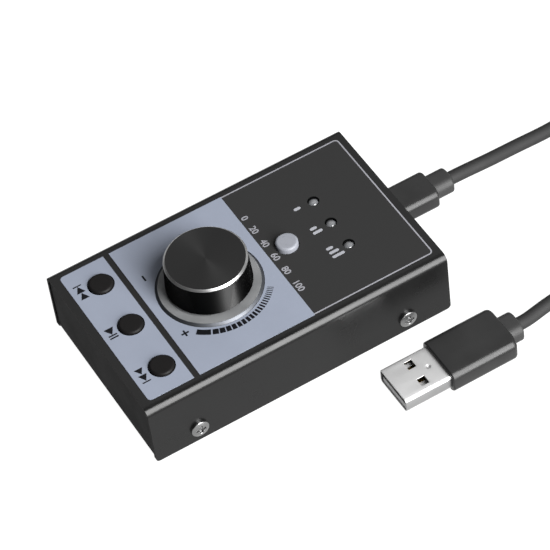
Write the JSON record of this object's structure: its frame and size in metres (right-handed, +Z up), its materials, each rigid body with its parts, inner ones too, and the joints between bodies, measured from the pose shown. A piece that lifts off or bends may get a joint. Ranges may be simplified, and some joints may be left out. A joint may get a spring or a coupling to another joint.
{
  "type": "usb volume control knob",
  "caption": "Desk volume controller: a sheet-metal box with a turned push knob in a bezel ring, round keys, indicator lights and a plug-in USB lead.",
  "frame": {"origin": "on the desk under the middle of the box, at the rubber feet's lower faces", "axes": "+X along the box towards its socket end, +Z up, -Y towards the user's side of the box"},
  "size_m": [0.1908, 0.0765, 0.0306],
  "materials": {
    "powder_coat": "satin powder coat, black",
    "film": "printed film, blue-grey",
    "anodised": "black anodised, turned top, polished side",
    "nickel": "brushed",
    "bright_steel": "bright plated",
    "black_abs": "moulded, fine texture",
    "grey_abs": "moulded, satin",
    "cable_pvc": "moulded PVC, satin black",
    "rubber": "matt black",
    "lens": "clear water-white",
    "board": "green solder mask",
    "brass": "plain",
    "gold": "gold plated",
    "chip": "moulded epoxy",
    "cream": "moulded nylon",
    "tie": "matt black band"
  },
  "bodies": {
    "root": {"top_cover": "powder_coat", "base_tray": "powder_coat", "cover_screws": "nickel", "rubber_feet": "rubber", "panel_film": "film", "bezel_ring": "nickel", "encoder_nut": "bright_steel", "encoder_washer": "bright_steel", "encoder_frame": "nickel", "encoder_base": "chip", "detent_spring": "brass", "push_dome": "bright_steel", "encoder_pins": "bright_steel", "switch_bodies": "chip", "switch_covers": "bright_steel", "switch_pins": "bright_steel", "led_lenses": "lens", "led_spacers": "cream", "led_leads": "bright_steel", "circuit_board": "board", "board_posts": "brass", "board_screws": "bright_steel", "controller_chip": "chip", "crystal": "bright_steel", "small_parts": "cream", "socket_shell": "bright_steel", "socket_tongue": "chip", "c_plug_shell": "bright_steel", "c_plug_mold": "cable_pvc", "c_plug_relief": "cable_pvc", "cord_at_device": "cable_pvc", "cord_coil": "cable_pvc", "coil_tie": "tie", "cord_at_plug": "cable_pvc", "a_plug_shell": "bright_steel", "a_plug_tongue": "cream", "a_plug_contacts": "gold", "a_plug_mold": "cable_pvc", "a_plug_relief": "cable_pvc"},
    "push_stage": {"push_plunger": "cream"},
    "knob": {"knob_cap": "anodised", "knob_insert": "black_abs", "encoder_shaft": "nickel"},
    "rotor": {"encoder_rotor": "cream"},
    "previous_button": {"previous_key": "black_abs", "previous_plunger": "chip"},
    "play_button": {"play_key": "black_abs", "play_plunger": "chip"},
    "next_button": {"next_key": "black_abs", "next_plunger": "chip"},
    "mode_button": {"mode_key": "grey_abs", "mode_plunger": "chip"}
  },
  "joints": [
    {"name": "knob_push", "type": "slide", "parent": "root", "child": "push_stage", "axis": [0, 0, -1], "range_m": [0, 0.0005], "stiffness_N_per_m": 8000, "springref_m": -0.0001, "deforming": ["push_dome"]},
    {"name": "knob_turn", "type": "hinge", "parent": "push_stage", "child": "knob", "pos_m": [-0.0101, 0, 0.02], "axis": [0, 0, 1], "continuous": true},
    {"name": "rotor_turn", "type": "hinge", "parent": "root", "child": "rotor", "pos_m": [-0.0101, 0, 0.02], "axis": [0, 0, 1], "continuous": true},
    {"name": "previous_press", "type": "slide", "parent": "root", "child": "previous_button", "axis": [0, 0, -1], "range_m": [0, 0.0003], "stiffness_N_per_m": 5000, "springref_m": -0.0001},
    {"name": "play_press", "type": "slide", "parent": "root", "child": "play_button", "axis": [0, 0, -1], "range_m": [0, 0.0003], "stiffness_N_per_m": 5000, "springref_m": -0.0001},
    {"name": "next_press", "type": "slide", "parent": "root", "child": "next_button", "axis": [0, 0, -1], "range_m": [0, 0.0003], "stiffness_N_per_m": 5000, "springref_m": -0.0001},
    {"name": "mode_press", "type": "slide", "parent": "root", "child": "mode_button", "axis": [0, 0, -1], "range_m": [0, 0.0003], "stiffness_N_per_m": 5000, "springref_m": -0.0001}
  ],
  "couplings": [
    {"joint": "rotor_turn", "follows": "knob_turn", "ratio": 1}
  ]
}
